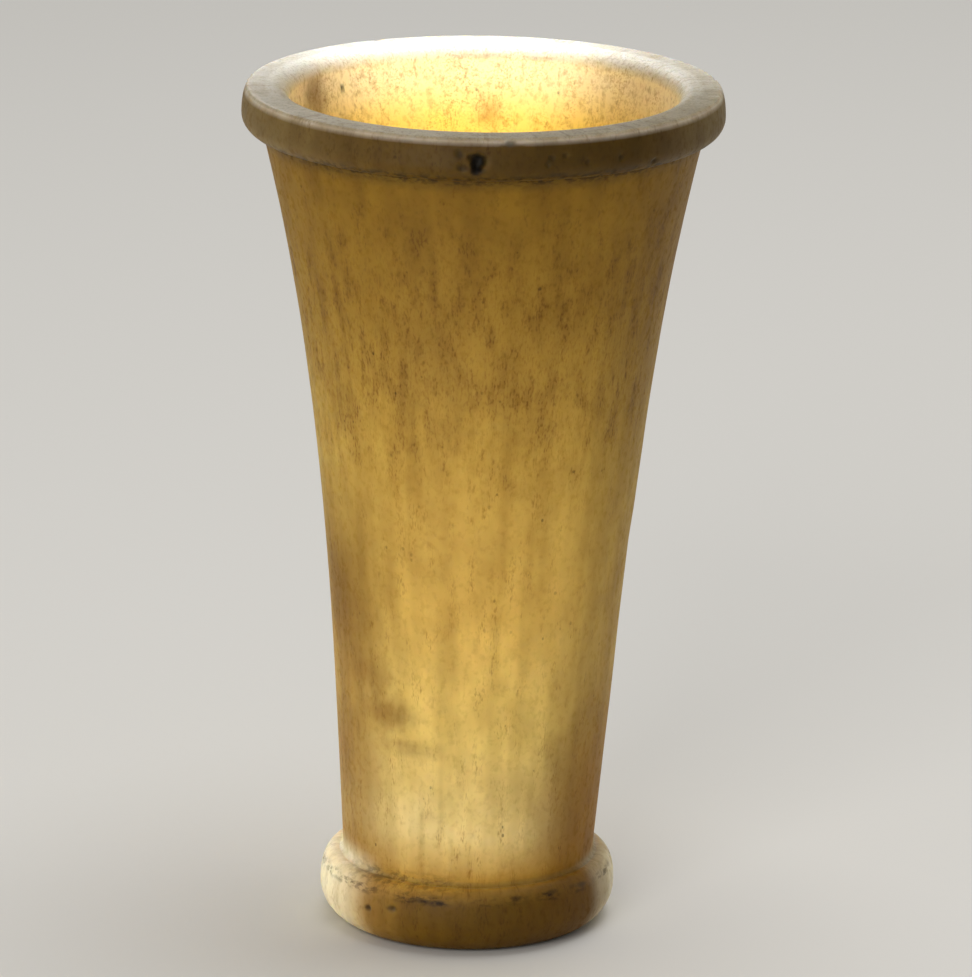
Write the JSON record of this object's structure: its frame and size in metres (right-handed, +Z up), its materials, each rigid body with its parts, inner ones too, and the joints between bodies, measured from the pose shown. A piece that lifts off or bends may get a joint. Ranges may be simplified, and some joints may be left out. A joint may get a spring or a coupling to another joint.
{
  "type": "beaker",
  "caption": "Tall carved alabaster beaker with a thick everted rim, a flared hollow body and a rolled foot, standing on its flat underside to hold liquids, ointment or flowers",
  "frame": {"origin": "the middle of the flat underside of the foot, on the surface the beaker stands on", "axes": "+Z is up, along the height, through the mouth; the rim's middle stands 1.5 mm to +X of the foot's middle, as in the leaning original; -Y faces the viewer of the picture"},
  "size_m": [0.1, 0.1, 0.1795],
  "materials": {
    "alabaster": "worn polish, honey-coloured and slightly translucent, with fine pores and brown stains"
  },
  "bodies": {
    "root": {"beaker": "alabaster"}
  },
  "joints": []
}
